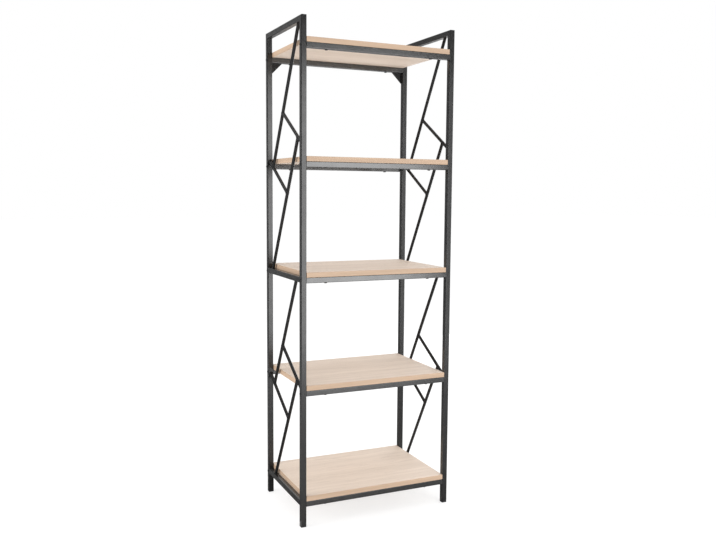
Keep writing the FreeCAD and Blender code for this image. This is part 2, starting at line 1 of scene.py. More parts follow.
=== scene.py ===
"""Looks of the open shelving unit: finishes, weld beads, studio and camera.

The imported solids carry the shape. This script gives each of them its finish, adds the weld beads of
the side frames, and sets a white studio with the camera where the photograph was taken from.
Metres; +Z is up, +X to the right, the front faces -Y, and the origin is on the floor at the middle of
the unit.
"""

import json
import logging
import math
from dataclasses import dataclass, replace
from enum import Enum

import bmesh
import bpy
from mathutils import Matrix, Vector


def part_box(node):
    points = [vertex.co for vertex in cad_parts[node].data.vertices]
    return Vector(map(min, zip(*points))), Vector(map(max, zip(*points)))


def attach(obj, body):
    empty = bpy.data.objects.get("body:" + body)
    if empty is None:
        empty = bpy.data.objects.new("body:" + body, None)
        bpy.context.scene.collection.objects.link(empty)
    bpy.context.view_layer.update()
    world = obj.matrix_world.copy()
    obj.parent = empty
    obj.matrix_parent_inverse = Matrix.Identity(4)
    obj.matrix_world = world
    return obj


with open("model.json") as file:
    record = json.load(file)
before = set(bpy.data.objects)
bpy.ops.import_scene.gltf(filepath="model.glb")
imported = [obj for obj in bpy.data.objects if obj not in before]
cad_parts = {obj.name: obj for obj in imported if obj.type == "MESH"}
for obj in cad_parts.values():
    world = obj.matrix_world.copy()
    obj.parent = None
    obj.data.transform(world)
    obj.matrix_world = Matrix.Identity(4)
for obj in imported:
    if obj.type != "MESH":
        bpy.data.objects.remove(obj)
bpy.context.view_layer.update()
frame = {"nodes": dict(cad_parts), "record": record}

LOG = logging.getLogger("shelving_unit")
BODY = "root"
MERGE_DISTANCE = 1e-6
QUARTER_TURN = math.pi / 2
FULL_TURN = 2 * math.pi
TO_RIGHT = Vector((1, 0, 0))
TO_REAR = Vector((0, 1, 0))
UP = Vector((0, 0, 1))
WHITE = (1.0, 1.0, 1.0)

Colour = tuple[float, float, float]
Point = tuple[float, float, float]
Limits = tuple[float, float]
Feed = float | Colour | bpy.types.NodeSocket

UNIT_RANGE: Limits = (0.0, 1.0)
NOISE_LIMITS: Limits = (0.3, 0.7)


class Slot(str, Enum):
    """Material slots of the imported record."""

    FRAME = "frame_paint"
    BOARD = "oak_laminate"
    BAND = "oak_edge_band"
    FOOT = "foot_plastic"
    FASTENER = "blackened_steel"
    BLOCK = "plain_steel"


class Side(str, Enum):
    """The two side frames, by the word that their solids' names start with."""

    LEFT = "left"
    RIGHT = "right"


@dataclass(frozen=True)
class MixKind:
    """The numbers of a Mix node's sockets for one kind of data."""

    data: str
    first: int
    second: int
    result: int


MIX_COLOURS = MixKind("RGBA", first=6, second=7, result=2)
MIX_VECTORS = MixKind("VECTOR", first=4, second=5, result=1)


class Graph:
    """A node tree with short calls for adding and joining nodes."""

    def __init__(self, tree: bpy.types.NodeTree) -> None:
        """Start from an empty tree.

        Args:
            tree: The tree of a material, world or node group.
        """
        self.tree = tree
        self.tree.nodes.clear()

    def add(self, kind: str, settings: dict[str, object] | None = None, **inputs: Feed) -> bpy.types.Node:
        """Add a node and feed its inputs by name.

        Args:
            kind: The node's type name.
            settings: Attributes to set on the node.
            **inputs: Values or output sockets for its inputs, named with underscores for spaces.

        Returns:
            The new node.
        """
        node = self.tree.nodes.new(kind)
        for name, value in (settings or {}).items():
            setattr(node, name, value)
        for name, value in inputs.items():
            self.feed(node.inputs[name.replace("_", " ")], value)
        return node

    def chain(self, kind: str, settings: dict[str, object], *values: Feed) -> bpy.types.Node:
        """Add a node and feed its inputs in their order.

        Args:
            kind: The node's type name.
            settings: Attributes to set on the node.
            *values: Values or output sockets for its first inputs.

        Returns:
            The new node.
        """
        node = self.add(kind, settings)
        for socket, value in zip(node.inputs, values):
            self.feed(socket, value)
        return node

    def feed(self, socket: bpy.types.NodeSocket, value: Feed) -> None:
        """Join an output socket to an input, or set the input's own value.

        Args:
            socket: The input.
            value: An output socket, a number, or a colour or vector of three numbers.
        """
        if isinstance(value, bpy.types.NodeSocket):
            self.tree.links.new(value, socket)
        elif socket.type == "RGBA":
            socket.default_value = (*value, 1.0)
        else:
            socket.default_value = value

    def math(self, operation: str, first: Feed, second: Feed = 0.0) -> bpy.types.NodeSocket:
        """Add a Math node and return its output."""
        return self.chain("ShaderNodeMath", {"operation": operation}, first, second).outputs[0]

    def vector_math(self, operation: str, first: Feed, second: Feed) -> bpy.types.bpy_prop_collection:
        """Add a Vector Math node and return its outputs, Vector and Value."""
        return self.chain("ShaderNodeVectorMath", {"operation": operation}, first, second).outputs

    def weigh(
        self, first: Feed, first_share: float, second: Feed, second_share: float
    ) -> bpy.types.NodeSocket:
        """Add two values, each times its share.

        Args:
            first: One value.
            first_share: Its share.
            second: The other value.
            second_share: Its share.

        Returns:
            The sum.
        """
        first_part = self.math("MULTIPLY", first, first_share)
        second_part = self.math("MULTIPLY", second, second_share)
        return self.math("ADD", first_part, second_part)

    def mix(self, kind: MixKind, mask: Feed, low: Feed, high: Feed) -> bpy.types.NodeSocket:
        """Mix two colours or two vectors by a mask.

        Args:
            kind: What is mixed.
            mask: 0 for the first, 1 for the second.
            low: The first colour or vector.
            high: The second colour or vector.

        Returns:
            The mixed colour or vector.
        """
        node = self.chain("ShaderNodeMix", {"data_type": kind.data}, mask)
        self.feed(node.inputs[kind.first], low)
        self.feed(node.inputs[kind.second], high)
        return node.outputs[kind.result]

    def span(self, value: Feed, source: Limits, target: Limits = UNIT_RANGE) -> bpy.types.NodeSocket:
        """Map one range of values to another, clamped, and return the value."""
        return self.chain("ShaderNodeMapRange", {"clamp": True}, value, *source, *target).outputs[0]

    def noise(self, vector: Feed, scale: Feed, detail: float, twist: float = 0.0) -> bpy.types.NodeSocket:
        """Add a noise texture and return its value."""
        inputs = {"Vector": vector, "Scale": scale, "Detail": detail, "Distortion": twist}
        return self.add("ShaderNodeTexNoise", **inputs).outputs[0]


def new_group(
    name: str, inputs: dict[str, str], outputs: tuple[str, ...]
) -> tuple[bpy.types.NodeTree, Graph]:
    """Start a shader node group with named sockets.

    Args:
        name: The group's name.
        inputs: Socket types by input name.
        outputs: Names of the outputs, which are all numbers.

    Returns:
        The group's tree and a graph to build it with.
    """
    tree = bpy.data.node_groups.new(name, "ShaderNodeTree")
    for label, kind in inputs.items():
        tree.interface.new_socket(name=label, in_out="INPUT", socket_type=kind)
    for label in outputs:
        tree.interface.new_socket(name=label, in_out="OUTPUT", socket_type="NodeSocketFloat")
    return tree, Graph(tree)


def new_material(name: str) -> tuple[bpy.types.Material, Graph]:
    """Start a material.

    Args:
        name: The material's name.

    Returns:
        The material and a graph to build it with.
    """
    material = bpy.data.materials.new(name)
    material.use_nodes = True
    return material, Graph(material.node_tree)


@dataclass(frozen=True)
class NoiseLayer:
    """One layer of the grain: a noise stretched along X, spread from 0 to 1."""

    per_metre: Point
    detail: float
    twist: float = 0.0
    limits: Limits = NOISE_LIMITS

    def mask(self, graph: Graph, vector: bpy.types.NodeSocket) -> bpy.types.NodeSocket:
        """Add the layer's nodes.

        Args:
            graph: The graph to add them to.
            vector: Coordinates in metres.

        Returns:
            The layer's value.
        """
        stretched = graph.vector_math("MULTIPLY", vector, self.per_metre)["Vector"]
        noise = graph.noise(stretched, 1.0, self.detail, self.twist)
        return graph.span(noise, self.limits)


class StraightGrain:
    """Printed oak grain that runs along X: broad tone, streaks and short dark pores."""

    LAYERS = {
        "Tone": NoiseLayer((0.9, 10.0, 10.0), detail=2.0, twist=0.6),
        "Streak": NoiseLayer((2.2, 50.0, 50.0), detail=4.0, twist=0.35),
        "Pore": NoiseLayer((14.0, 640.0, 640.0), detail=1.0, limits=(0.62, 0.74)),
    }

    def __init__(self) -> None:
        """Build the group."""
        inputs = {"Vector": "NodeSocketVector"}
        self.tree, graph = new_group("straight_grain", inputs, tuple(self.LAYERS))
        vector = graph.add("NodeGroupInput").outputs["Vector"]
        masks = {name: layer.mask(graph, vector) for name, layer in self.LAYERS.items()}
        graph.add("NodeGroupOutput", **masks)


class FineSpeckle:
    """Even fine speckle of a coated or moulded surface, with a slow cloudiness under it."""

    CLOUDS_PER_METRE = 28.0
    CLOUD_DETAIL = 3.0
    SPECKLE_DETAIL = 2.0

    def __init__(self) -> None:
        """Build the group."""
        inputs = {"Vector": "NodeSocketVector", "Grains per metre": "NodeSocketFloat"}
        self.tree, graph = new_group("fine_speckle", inputs, ("Cloud", "Speckle"))
        source = graph.add("NodeGroupInput").outputs
        cloud = graph.noise(source["Vector"], self.CLOUDS_PER_METRE, self.CLOUD_DETAIL)
        speckle = graph.noise(source["Vector"], source["Grains per metre"], self.SPECKLE_DETAIL)
        masks = {"Cloud": graph.span(cloud, NOISE_LIMITS), "Speckle": graph.span(speckle, NOISE_LIMITS)}
        graph.add("NodeGroupOutput", **masks)


@dataclass(frozen=True)
class Effects:
    """The node groups that the finishes share."""

    grain: StraightGrain
    speckle: FineSpeckle


@dataclass(frozen=True)
class Finish:
    """A finish for one material slot."""

    slot: Slot
    dark: Colour
    light: Colour
    roughness: Limits
    relief: float

    def material(self, effects: Effects, name: str = "") -> bpy.types.Material:
        """Make the material.

        Args:
            effects: The shared node groups.
            name: The material's name, where it isn't its slot's.

        Returns:
            The finished material.
        """
        material, graph = new_material(name or self.slot.value)
        shader = graph.add("ShaderNodeBsdfPrincipled")
        self.dress(graph, shader, effects)
        graph.add("ShaderNodeOutputMaterial", Surface=shader.outputs[0])
        return material

    def dress(self, graph: Graph, shader: bpy.types.Node, effects: Effects) -> None:
        """Fill in the shader's sockets; each kind of finish does this its own way."""
        raise NotImplementedError

    def emboss(self, graph: Graph, shader: bpy.types.Node, height: bpy.types.NodeSocket) -> None:
        """Give the surface a relief of the finish's depth."""
        bump = graph.add("ShaderNodeBump", Strength=1.0, Distance=self.relief, Height=height)
        graph.feed(shader.inputs["Normal"], bump.outputs[0])


@dataclass(frozen=True)
class Coating(Finish):
    """Powder coat, moulded plastic or plated metal: a speckled even colour."""

    CLOUD_SHARE = 0.65
    GRAIN_SHARE = 0.35

    grains_per_metre: float
    metallic: float = 0.0
    specular: float = 0.5

    def dress(self, graph: Graph, shader: bpy.types.Node, effects: Effects) -> None:
        """Colour, gloss and relief from the fine speckle.

        Args:
            graph: The material's graph.
            shader: Its shader.
            effects: The shared node groups.
        """
        place = graph.add("ShaderNodeTexCoord").outputs["Object"]
        inputs = {"Vector": place, "Grains per metre": self.grains_per_metre}
        speckle = graph.add("ShaderNodeGroup", {"node_tree": effects.speckle.tree}, **inputs).outputs
        shade = graph.weigh(speckle["Cloud"], self.CLOUD_SHARE, speckle["Speckle"], self.GRAIN_SHARE)
        graph.feed(shader.inputs["Base Color"], graph.mix(MIX_COLOURS, shade, self.dark, self.light))
        graph.feed(shader.inputs["Roughness"], graph.span(speckle["Cloud"], UNIT_RANGE, self.roughness))
        graph.feed(shader.inputs["Metallic"], self.metallic)
        graph.feed(shader.inputs["Specular IOR Level"], self.specular)
        self.emboss(graph, shader, speckle["Speckle"])


@dataclass(frozen=True)
class OakPrint(Finish):
    """Oak-look laminate or edge banding."""

    TONE_SHARE = 0.45
    STREAK_SHARE = 0.55
    PORE_SHARE = 0.55
    SPECULAR = 0.25
    LEAST_SIDEWAYS = 0.7

    pore: Colour
    along_the_edge: bool = False

    def dress(self, graph: Graph, shader: bpy.types.Node, effects: Effects) -> None:
        """Colour, gloss and relief from the straight grain.

        Args:
            graph: The material's graph.
            shader: Its shader.
            effects: The shared node groups.
        """
        place = graph.add("ShaderNodeTexCoord").outputs["Object"]
        along = self.turned(graph, place) if self.along_the_edge else place
        grain = graph.add("ShaderNodeGroup", {"node_tree": effects.grain.tree}, Vector=along).outputs
        shade = graph.weigh(grain["Tone"], self.TONE_SHARE, grain["Streak"], self.STREAK_SHARE)
        wood = graph.mix(MIX_COLOURS, shade, self.dark, self.light)
        pores = graph.math("MULTIPLY", grain["Pore"], self.PORE_SHARE)
        graph.feed(shader.inputs["Base Color"], graph.mix(MIX_COLOURS, pores, wood, self.pore))
        graph.feed(shader.inputs["Roughness"], graph.span(grain["Streak"], UNIT_RANGE, self.roughness))
        graph.feed(shader.inputs["Specular IOR Level"], self.SPECULAR)
        self.emboss(graph, shader, graph.math("SUBTRACT", grain["Streak"], grain["Pore"]))

    def turned(self, graph: Graph, place: bpy.types.NodeSocket) -> bpy.types.NodeSocket:
        """Turn the grain along Y on the strips that face left or right.

        Args:
            graph: The material's graph.
            place: Object coordinates.

        Returns:
            Coordinates whose X runs along each strip.
        """
        normal = graph.add("ShaderNodeNewGeometry").outputs["Normal"]
        across = graph.add("ShaderNodeSeparateXYZ", Vector=normal).outputs["X"]
        sideways = graph.math("GREATER_THAN", graph.math("ABSOLUTE", across), self.LEAST_SIDEWAYS)
        parts = graph.add("ShaderNodeSeparateXYZ", Vector=place).outputs
        swapped = graph.add("ShaderNodeCombineXYZ", X=parts["Y"], Y=parts["X"], Z=parts["Z"])
        return graph.mix(MIX_VECTORS, sideways, place, swapped.outputs[0])


FRAME_COAT = Coating(
    Slot.FRAME,
    dark=(0.011, 0.0111, 0.0113),
    light=(0.017, 0.0171, 0.0174),
    roughness=(0.20, 0.25),
    relief=0.000005,
    grains_per_metre=1500.0,
    specular=0.55,
)
BOARD_PRINT = OakPrint(
    Slot.BOARD,
    dark=(0.72, 0.596, 0.492),
    light=(0.88, 0.752, 0.643),
    roughness=(0.48, 0.58),
    relief=0.00004,
    pore=(0.45, 0.34, 0.27),
)
BAND_PRINT = OakPrint(
    Slot.BAND,
    dark=(0.465, 0.33, 0.229),
    light=(0.658, 0.478, 0.344),
    roughness=(0.45, 0.55),
    relief=0.00004,
    pore=(0.46, 0.31, 0.21),
    along_the_edge=True,
)
FOOT_PLASTIC = Coating(
    Slot.FOOT,
    dark=(0.022, 0.022, 0.023),
    light=(0.032, 0.032, 0.033),
    roughness=(0.55, 0.68),
    relief=0.00005,
    grains_per_metre=700.0,
)
FASTENER_BLACK = Coating(
    Slot.FASTENER,
    dark=(0.020, 0.020, 0.021),
    light=(0.034, 0.034, 0.036),
    roughness=(0.30, 0.42),
    relief=0.00001,
    grains_per_metre=1600.0,
)
BLOCK_STEEL = Coating(
    Slot.BLOCK,
    dark=(0.50, 0.50, 0.49),
    light=(0.62, 0.62, 0.61),
    roughness=(0.28, 0.42),
    relief=0.00001,
    grains_per_metre=900.0,
    metallic=1.0,
)
FINISHES = (FRAME_COAT, BOARD_PRINT, BAND_PRINT, FOOT_PLASTIC, FASTENER_BLACK, BLOCK_STEEL)


@dataclass(frozen=True)
class GlossAndShadeCoat:
    """A copy of the posts' coat that some pieces of the frame get instead: glossier on the shelf rails,
    and darker on the braces, gusset plates and welds, where the darker colour is painted shade.
    """

    name: str
    finish: Finish
    marks: tuple[str, ...]

    def is_on(self, piece: str) -> bool:
        """Whether a piece, by its name, has this coat."""
        return any(mark in piece for mark in self.marks)


RAIL_COAT = GlossAndShadeCoat(
    "shelf_rail_paint",
    replace(FRAME_COAT, roughness=(0.18, 0.23), specular=0.95),
    marks=("_shelf_front_rail", "_shelf_rear_rail"),
)
# Braces, gusset plates and weld beads: the posts' powder coat with less sheen, and with a darker colour
# that is painted shade.
BRACE_PAINTED_SHADE = GlossAndShadeCoat(
    "brace_painted_shade",
    replace(FRAME_COAT, dark=(0.0085, 0.0086, 0.0088), light=(0.0135, 0.0136, 0.0139), specular=0.28),
    marks=("_brace_", "_gusset_plate", "_welds"),
)
GLOSS_AND_SHADE_COATS = (RAIL_COAT, BRACE_PAINTED_SHADE)


class Wardrobe:
    """All materials of the unit, and what wears them."""

    def __init__(self) -> None:
        """Make every finish once."""
        effects = Effects(StraightGrain(), FineSpeckle())
        self.materials = {finish.slot: finish.material(effects) for finish in FINISHES}
        self.gloss_and_shade_coats = {coat: coat.finish.material(effects, coat.name) for coat in GLOSS_AND_SHADE_COATS}

    def dress_solids(self) -> None:
        """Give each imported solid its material."""
        for entry in frame["record"]["subparts"]:
            material = self.choose(entry["node"], Slot(entry["material_slot"]))
            for holder in frame["nodes"][entry["node"]].material_slots:
                holder.material = material
            LOG.info("solid %s: %s", entry["node"], material.name)

    def choose(self, piece: str, slot: Slot) -> bpy.types.Material:
        """The material of a piece: the rails' glossier coat or the braces' painted shade where it has
        one, or its slot's finish.

        Args:
            piece: The piece's name.
            slot: Its material slot.

        Returns:
            The material.
        """
        for coat, material in self.gloss_and_shade_coats.items():
            if coat.is_on(piece):
                return material
        return self.materials[slot]

    def finish_piece(self, piece: bpy.types.Object, slot: Slot) -> None:
        """Give a new piece its material and tie it to the unit.

        Args:
            piece: The piece.
            slot: Its material slot.
        """
        material = self.choose(piece.name, slot)
        piece.data.materials.append(material)
        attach(piece, BODY)
        LOG.info("piece %s: %s", piece.name, material.name)


def axes(x: Vector, y: Vector, z: Vector, origin: Vector) -> Matrix:
    """A matrix from its three axes and its origin."""
    turn = Matrix((x, y, z)).transposed().to_4x4()
    return Matrix.Translation(origin) @ turn


def add_bead(joined: bmesh.types.BMesh, bead: bmesh.types.BMesh, place: Matrix) -> None:
    """Put a bead in its place and join it to the others.

    Args:
        joined: The mesh that takes the bead.
        bead: The bead, which is used up.
        place: Where it goes.
    """
    bmesh.ops.transform(bead, matrix=place, verts=bead.verts)
    carrier = bpy.data.meshes.new("bead")
    bead.to_mesh(carrier)
    bead.free()
    joined.from_mesh(carrier)
    bpy.data.meshes.remove(carrier)


def finish_mesh(shape: bmesh.types.BMesh, name: str) -> bpy.types.Object:
    """Close, turn outwards and smooth a mesh, and make it an object of the scene.

    Args:
        shape: The mesh, which is used up.
        name: The object's name.

    Returns:
        The new object, at the origin.
    """
    bmesh.ops.remove_doubles(shape, verts=shape.verts, dist=MERGE_DISTANCE)
    bmesh.ops.recalc_face_normals(shape, faces=shape.faces)
    for face in shape.faces:
        face.smooth = True
    mesh = bpy.data.meshes.new(name)
    shape.to_mesh(mesh)
    shape.free()
    made = bpy.data.objects.new(name, mesh)
    bpy.context.scene.collection.objects.link(made)
    return made


@dataclass(frozen=True)
class BeadTool:
    """Makes weld beads: rippled rings and straight runs."""

    ripple_length: float = 0.0022
    ripple_depth: float = 0.16
    facets: int = 10
    steps_per_ripple: int = 4
    taper_power: int = 6
    least_taper: float = 0.05

    def ring(self, radius: float, bead: float) -> bmesh.types.BMesh:
        """A ring-shaped bead in the XY plane.

        Args:
            radius: Radius of the ring's middle line.
            bead: Radius of the bead itself.

        Returns:
            The bead as a closed mesh.
        """
        ripples = round(FULL_TURN * radius / self.ripple_length)
        steps = ripples * self.steps_per_ripple
        shape = self.section(bead)
        bmesh.ops.translate(shape, verts=shape.verts, vec=(radius, 0, 0))
        around = {"cent": (0, 0, 0), "axis": UP, "angle": FULL_TURN}
        bmesh.ops.spin(shape, geom=shape.verts[:] + shape.edges[:], steps=steps, use_merge=True, **around)
        for vert in shape.verts:
            angle = math.atan2(vert.co.y, vert.co.x)
            middle = Vector((math.cos(angle), math.sin(angle), 0)) * radius
            vert.co = middle + (vert.co - middle) * self.swell(angle * ripples / 2)
        return shape

    def run(self, length: float, bead: float) -> bmesh.types.BMesh:
        """A straight bead along Y with tapered ends, its middle at the origin.

        Args:
            length: Length of the bead.
            bead: Radius of the bead itself.

        Returns:
            The bead as a closed mesh.
        """
        ripples = round(length / self.ripple_length)
        steps = ripples * self.steps_per_ripple
        shape = self.section(bead)
        bmesh.ops.translate(shape, verts=shape.verts, vec=(0, -length / 2, 0))
        along = {"cent": (0, 0, 0), "axis": TO_REAR, "angle": 0.0, "dvec": (0, length / steps, 0)}
        bmesh.ops.spin(shape, geom=shape.verts[:] + shape.edges[:], steps=steps, use_merge=False, **along)
        open_edges = [edge for edge in shape.edges if edge.is_boundary]
        bmesh.ops.holes_fill(shape, edges=open_edges)
        for vert in shape.verts:
            share = vert.co.y / length
            taper = math.sqrt(max(self.least_taper, 1 - (2 * share) ** self.taper_power))
            factor = taper * self.swell(math.pi * share * ripples)
            vert.co = Vector((vert.co.x * factor, vert.co.y, vert.co.z * factor))
        return shape

    def section(self, bead: float) -> bmesh.types.BMesh:
        """A circle in the XZ plane, the start of every bead.

        Args:
            bead: Radius of the bead.

        Returns:
            The circle's edges.
        """
        shape = bmesh.new()
        upright = Matrix.Rotation(QUARTER_TURN, 4, "X")
        bmesh.ops.create_circle(shape, cap_ends=False, segments=self.facets, radius=bead, matrix=upright)
        return shape

    def swell(self, phase: float) -> float:
        """Thickness of the bead at a phase of its ripples, as a share of its greatest."""
        return 1.0 - self.ripple_depth * abs(math.sin(phase))


@dataclass(frozen=True)
class Bay:
    """One bay of a side frame with its four braces, sized as the solids are.

    A long brace starts on a rail, with its axis start away from a post. It ends on a short brace,
    end_gap away from the other post and drop past the middle of the bay.
    """

    low_rail: str
    high_rail: str
    start: float
    end_gap: float
    drop: float


UPPER_BAY = Bay("frame_middle_rail", "frame_top_rail", start=0.034, end_gap=0.040, drop=0.050)
LOWER_BAY = Bay("frame_bottom_rail", "frame_middle_rail", start=0.060, end_gap=0.048, drop=0.036)


class BraceLayout:
    """Where the braces of a bay start, end and meet, in the plane of the side frame."""

    def __init__(self, bay: Bay, side: Side) -> None:
        """Work the layout out from the bay's sizes and the solids around it.

        Args:
            bay: The bay.
            side: The side frame it is in.
        """
        front_low, front_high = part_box(f"front_{side.value}_post")
        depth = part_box(f"rear_{side.value}_post")[0].y - front_high.y
        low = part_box(f"{side.value}_{bay.low_rail}")[1].z
        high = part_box(f"{side.value}_{bay.high_rail}")[0].z
        half = (high - low) / 2
        reach = depth / 2 - bay.end_gap
        self.middle = Vector(((front_low.x + front_high.x) / 2, 0, (low + high) / 2))
        self.lean = math.atan2(depth - bay.start - bay.end_gap, half + bay.drop)
        self.long_way = Vector((0, -math.sin(self.lean), math.cos(self.lean)))
        self.short_way = Vector((0, -math.cos(self.lean), -math.sin(self.lean)))
        pitch = 2 * (reach * math.sin(self.lean) + bay.drop * math.cos(self.lean))
        self.long_foot = Vector((0, reach, -bay.drop))
        self.long_head = Vector((0, bay.start - depth / 2, half))
        self.short_foot = self.long_foot + self.long_way * pitch
        run = (self.short_foot.y + depth / 2) / math.cos(self.lean)
        self.short_head = self.short_foot + self.short_way * run

    def spot(self, point: Vector, sign: int) -> Vector:
        """A point of the bay, or the one opposite through its middle, in the unit's frame."""
        return self.middle + point * sign


@dataclass(frozen=True)
class FrameWelds:
    """Weld beads of one side frame: brace ends, brace joints and rail ends."""

    side: Side
    tool: BeadTool
    ring_bead: float = 0.0016
    rail_bead: float = 0.0017
    rail_run: float = 0.0145

    @property
    def brace_radius(self) -> float:
        """Radius of the round braces, from the width of one that leans in the YZ plane."""
        low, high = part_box(f"{self.side.value}_upper_long_brace_top")
        return (high.x - low.x) / 2

    def build(self, wardrobe: Wardrobe) -> bpy.types.Object:
        """Make the piece.

        Args:
            wardrobe: The unit's materials.

        Returns:
            The finished piece.
        """
        joined = bmesh.new()
        for bay in (UPPER_BAY, LOWER_BAY):
            self.weld_bay(joined, BraceLayout(bay, self.side))
        for rail in ("frame_middle_rail", "frame_bottom_rail"):
            self.weld_rail(joined, f"{self.side.value}_{rail}")
        piece = finish_mesh(joined, f"{self.side.value}_frame_welds")
        wardrobe.finish_piece(piece, Slot.FRAME)
        return piece

    def weld_bay(self, joined: bmesh.types.BMesh, layout: BraceLayout) -> None:
        """Add the eight beads of a bay's braces.

        Args:
            joined: The mesh that takes the beads.
            layout: Where the braces are.
        """
        feet = (
            (layout.long_foot, layout.long_way, layout.short_way),
            (layout.short_foot, layout.short_way, layout.long_way),
        )
        heads = ((layout.long_head, TO_REAR, -UP), (layout.short_head, UP, TO_REAR))
        stretch = 1 / math.cos(layout.lean)
        for sign in (1, -1):
            for foot, way, other in feet:
                place = axes(other * sign, TO_RIGHT, way * sign, layout.spot(foot, sign))
                add_bead(joined, self.saddle(), place)
            for head, flat, normal in heads:
                place = axes(flat * stretch, TO_RIGHT, normal * sign, layout.spot(head, sign))
                add_bead(joined, self.tool.ring(self.brace_radius, self.ring_bead), place)

    def saddle(self) -> bmesh.types.BMesh:
        """Make a ring-shaped bead that lies over a round brace running along X.

        Returns:
            The bead as a closed mesh.
        """
        radius = self.brace_radius
        shape = self.tool.ring(radius, self.ring_bead)
        for vert in shape.verts:
            angle = math.atan2(vert.co.y, vert.co.x)
            vert.co.z += radius * abs(math.cos(angle))
        return shape

    def weld_rail(self, joined: bmesh.types.BMesh, rail: str) -> None:
        """Add the beads above and below both ends of a rail.

        Args:
            joined: The mesh that takes the beads.
            rail: The rail's node.
        """
        low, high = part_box(rail)
        across = Matrix.Rotation(QUARTER_TURN, 4, "Z")
        for y in (low.y, high.y):
            for z in (low.z, high.z):
                place = Matrix.Translation(((low.x + high.x) / 2, y, z)) @ across
                add_bead(joined, self.tool.run(self.rail_run, self.rail_bead), place)


@dataclass(frozen=True)
class GussetWelds:
    """Weld beads along the legs of the two gusset plates."""

    tool: BeadTool
    bead: float = 0.0013
    inset: float = 0.0015

    def build(self, wardrobe: Wardrobe) -> bpy.types.Object:
        """Make the piece.

        Args:
            wardrobe: The unit's materials.

        Returns:
            The finished piece.
        """
        joined = bmesh.new()
        across = Matrix.Rotation(QUARTER_TURN, 4, "Z")
        upright = Matrix.Rotation(QUARTER_TURN, 4, "X")
        for side in Side:
            low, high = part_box(f"{side.value}_gusset_plate")
            post_x = high.x if side is Side.RIGHT else low.x
            middle = (low + high) / 2
            size = high - low
            for y in (low.y, high.y):
                under_rail = Matrix.Translation((middle.x, y, high.z)) @ across
                beside_post = Matrix.Translation((post_x, y, middle.z)) @ upright
                add_bead(joined, self.tool.run(size.x - 2 * self.inset, self.bead), under_rail)
                add_bead(joined, self.tool.run(size.z - 2 * self.inset, self.bead), beside_post)
        piece = finish_mesh(joined, "gusset_welds")
        wardrobe.finish_piece(piece, Slot.FRAME)
        return piece


@dataclass(frozen=True)
class Softbox:
    """A flat soft light of even brightness, turned level to the upright line through the origin."""

    name: str
    place: Point
    size: tuple[float, float]
    brightness: float
    mirrored: bool = True

    def build(self) -> bpy.types.Object:
        """Make the light, with the power that gives its face its brightness.

        Returns:
            The light.
        """
        lamp = bpy.data.lights.new(self.name, "AREA")
        lamp.shape = "RECTANGLE"
        lamp.size, lamp.size_y = self.size
        lamp.energy = self.brightness * math.pi * math.prod(self.size)
        light = bpy.data.objects.new(self.name, lamp)
        light.location = self.place
        x, y, _ = self.place
        light.rotation_euler = Vector((-x, -y, 0)).to_track_quat("-Z", "Y").to_euler()
        light.visible_glossy = self.mirrored
        bpy.context.scene.collection.objects.link(light)
        return light


@dataclass(frozen=True)
class Card:
    """A grey card of the set that only mirrored rays meet; the metal shows it."""

    name: str
    low: Point
    high: Point
    tone: float

    def build(self) -> bpy.types.Object:
        """Make the card.

        Returns:
            The card.
        """
        low, high = Vector(self.low), Vector(self.high)
        shape = bmesh.new()
        bmesh.ops.create_cube(shape, size=1.0)
        place = Matrix.Translation((low + high) / 2) @ Matrix.Diagonal((*(high - low), 1.0))
        bmesh.ops.transform(shape, matrix=place, verts=shape.verts)
        card = finish_mesh(shape, self.name)
        card.data.materials.append(self.paint())
        card.visible_camera = False
        card.visible_diffuse = False
        card.visible_shadow = False
        card.visible_transmission = False
        return card

    def paint(self) -> bpy.types.Material:
        """Make the card's matt paint.

        Returns:
            The material.
        """
        material, graph = new_material(self.name)
        paint = graph.add("ShaderNodeBsdfDiffuse", Color=self.grey(graph))
        graph.add("ShaderNodeOutputMaterial", Surface=paint.outputs[0])
        return material

    def grey(self, graph: Graph) -> Feed:
        """The colour of the card's paint, the same all over."""
        return (self.tone, self.tone, self.tone)


@dataclass(frozen=True)
class FadedCard(Card):
    """A card whose grey fades to another one along a line."""

    far_tone: float
    fade_start: Point
    fade_end: Point

    def grey(self, graph: Graph) -> Feed:
        """The colour of the card's paint, by how far along the line a point is.

        Args:
            graph: The paint's graph.

        Returns:
            The grey.
        """
        line = Vector(self.fade_end) - Vector(self.fade_start)
        place = graph.add("ShaderNodeTexCoord").outputs["Object"]
        offset = graph.vector_math("SUBTRACT", place, self.fade_start)["Vector"]
        share = graph.vector_math("DOT_PRODUCT", offset, tuple(line / line.length_squared))["Value"]
        return graph.span(share, UNIT_RANGE, (self.tone, self.far_tone))


# The set around the unit: how far out its upright cards stand, how far out their backs are and how
# high their tops, where the front and the rear ones are split, the two faces of the floor cards, and
# where the front floor card ends
REACH = 4.0
BACK = 4.1
TALL = 4.5
FRONT_SPLIT = 0.2
REAR_SPLIT = -0.6
FLOOR_LOW = 0.002
FLOOR_HIGH = 0.003
FRONT_END = -0.15


